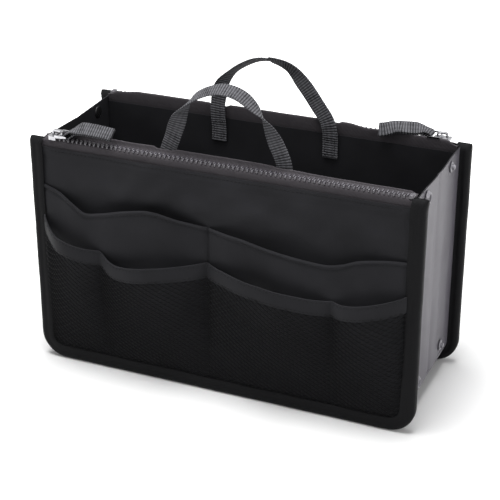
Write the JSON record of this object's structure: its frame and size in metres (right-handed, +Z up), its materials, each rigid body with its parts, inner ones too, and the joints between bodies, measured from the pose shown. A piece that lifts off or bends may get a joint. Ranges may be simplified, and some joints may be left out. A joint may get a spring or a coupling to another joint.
{
  "type": "purse organizer insert",
  "caption": "Open fabric box that stands inside a purse: zipped walls with slip and net pockets outside, webbing handles, and a base and snap-closing sides that fold inward.",
  "frame": {"origin": "middle of the bounding box on the floor the organizer stands on", "axes": "+X along the walls to the viewer's right, -Y towards the front wall, +Z up to the handles"},
  "size_m": [0.3, 0.1508, 0.23],
  "materials": {
    "black_nylon": "plain-woven coated nylon with a soft sheen",
    "black_lining": "thin woven lining",
    "black_binding": "ribbed binding tape",
    "black_net": "open warp-knit net",
    "board": "plain flexible sheet",
    "grey_satin": "satin nylon",
    "grey_webbing": "ribbed polyester webbing",
    "grey_zip": "woven tape with moulded teeth",
    "zip_metal": "bright plated",
    "snap_plastic": "satin moulded"
  },
  "bodies": {
    "front_wall": {"front_outer_panel": "black_nylon", "front_stiffener": "board", "front_lining_panel": "black_lining", "front_edge_binding": "black_binding", "front_seam_strip": "grey_satin", "front_slip_pocket": "black_nylon", "front_net_pocket": "black_net", "front_net_hem": "black_binding", "front_zip_outer_stringer": "grey_zip", "front_zip_inner_stringer": "grey_zip", "front_zip_chain": "grey_zip", "front_handle_foot_left": "grey_webbing", "front_handle_foot_right": "grey_webbing", "front_right_corner": "grey_satin", "front_left_corner": "grey_satin"},
    "back_wall": {"back_outer_panel": "black_nylon", "back_stiffener": "board", "back_lining_panel": "black_lining", "back_edge_binding": "black_binding", "back_seam_strip": "grey_satin", "back_slip_pocket": "black_nylon", "back_net_pocket": "black_net", "back_net_hem": "black_binding", "back_zip_outer_stringer": "grey_zip", "back_zip_inner_stringer": "grey_zip", "back_zip_chain": "grey_zip", "back_handle_foot_left": "grey_webbing", "back_handle_foot_right": "grey_webbing", "back_right_corner": "grey_satin", "back_left_corner": "grey_satin"},
    "right_gusset_front": {"right_gusset_front": "grey_satin", "right_front_upper_socket": "snap_plastic", "right_front_lower_socket": "snap_plastic", "right_front_upper_cap": "snap_plastic", "right_front_lower_cap": "snap_plastic"},
    "right_gusset_rear": {"right_gusset_rear": "grey_satin", "right_rear_upper_stud": "snap_plastic", "right_rear_lower_stud": "snap_plastic", "right_rear_upper_cap": "snap_plastic", "right_rear_lower_cap": "snap_plastic"},
    "left_gusset_front": {"left_gusset_front": "grey_satin", "left_front_upper_stud": "snap_plastic", "left_front_lower_stud": "snap_plastic", "left_front_upper_cap": "snap_plastic", "left_front_lower_cap": "snap_plastic"},
    "left_gusset_rear": {"left_gusset_rear": "grey_satin", "left_rear_upper_socket": "snap_plastic", "left_rear_lower_socket": "snap_plastic", "left_rear_upper_cap": "snap_plastic", "left_rear_lower_cap": "snap_plastic"},
    "base_front": {"base_front": "grey_satin"},
    "base_rear": {"base_rear": "grey_satin"},
    "front_zip_slider": {"front_zip_slider": "zip_metal"},
    "front_zip_pull": {"front_zip_pull_ring": "zip_metal", "front_zip_pull_strap": "grey_webbing"},
    "back_zip_slider": {"back_zip_slider": "zip_metal"},
    "back_zip_pull": {"back_zip_pull_ring": "zip_metal", "back_zip_pull_strap": "grey_webbing"},
    "front_handle": {"front_handle_loop": "grey_webbing"},
    "back_handle": {"back_handle_loop": "grey_webbing"}
  },
  "joints": [
    {"name": "side_fold", "type": "hinge", "parent": "front_wall", "child": "right_gusset_front", "pos_m": [0.141, -0.0435, 0.1], "axis": [0, 0, 1], "range_deg": [0, 85], "deforming": ["front_right_corner", "front_left_corner", "back_right_corner", "back_left_corner"]},
    {"name": "right_crease", "type": "hinge", "parent": "right_gusset_front", "child": "right_gusset_rear", "pos_m": [0.142, 0, 0.1], "axis": [0, 0, -1], "range_deg": [0, 170]},
    {"name": "back_wall_seam", "type": "hinge", "parent": "right_gusset_rear", "child": "back_wall", "pos_m": [0.141, 0.0435, 0.1], "axis": [0, 0, 1], "range_deg": [0, 85]},
    {"name": "left_seam", "type": "hinge", "parent": "front_wall", "child": "left_gusset_front", "pos_m": [-0.141, -0.0435, 0.1], "axis": [0, 0, -1], "range_deg": [0, 85]},
    {"name": "left_crease", "type": "hinge", "parent": "left_gusset_front", "child": "left_gusset_rear", "pos_m": [-0.142, 0, 0.1], "axis": [0, 0, 1], "range_deg": [0, 170]},
    {"name": "base_seam", "type": "hinge", "parent": "front_wall", "child": "base_front", "pos_m": [0, -0.0435, 0.009], "axis": [1, 0, 0], "range_deg": [0, 85]},
    {"name": "base_crease", "type": "hinge", "parent": "base_front", "child": "base_rear", "pos_m": [0, 0, 0.008], "axis": [-1, 0, 0], "range_deg": [0, 170]},
    {"name": "front_zip", "type": "slide", "parent": "front_wall", "child": "front_zip_slider", "axis": [1, 0, 0], "range_m": [0, 0.254], "deforming": ["front_zip_outer_stringer", "front_zip_inner_stringer", "front_zip_chain"]},
    {"name": "front_pull", "type": "hinge", "parent": "front_zip_slider", "child": "front_zip_pull", "pos_m": [-0.127, -0.0524, 0.18394], "axis": [0, -1, 0], "range_deg": [0, 150]},
    {"name": "back_zip", "type": "slide", "parent": "back_wall", "child": "back_zip_slider", "axis": [-1, 0, 0], "range_m": [0, 0.254], "deforming": ["back_zip_outer_stringer", "back_zip_inner_stringer", "back_zip_chain"]},
    {"name": "back_pull", "type": "hinge", "parent": "back_zip_slider", "child": "back_zip_pull", "pos_m": [0.127, 0.0524, 0.18394], "axis": [0, 1, 0], "range_deg": [0, 150]},
    {"name": "front_handle_bend", "type": "hinge", "parent": "front_wall", "child": "front_handle", "pos_m": [0, -0.0442, 0.183], "axis": [1, 0, 0], "range_deg": [-40, 85], "stiffness_Nm_per_rad": 0.02},
    {"name": "back_handle_bend", "type": "hinge", "parent": "back_wall", "child": "back_handle", "pos_m": [0, 0.0442, 0.183], "axis": [-1, 0, 0], "range_deg": [-40, 85], "stiffness_Nm_per_rad": 0.02}
  ],
  "couplings": [
    {"joint": "right_crease", "follows": "side_fold", "ratio": 2},
    {"joint": "back_wall_seam", "follows": "side_fold", "ratio": 1},
    {"joint": "left_seam", "follows": "side_fold", "ratio": 1},
    {"joint": "left_crease", "follows": "side_fold", "ratio": 2},
    {"joint": "base_seam", "follows": "side_fold", "ratio": 1},
    {"joint": "base_crease", "follows": "side_fold", "ratio": 2}
  ]
}
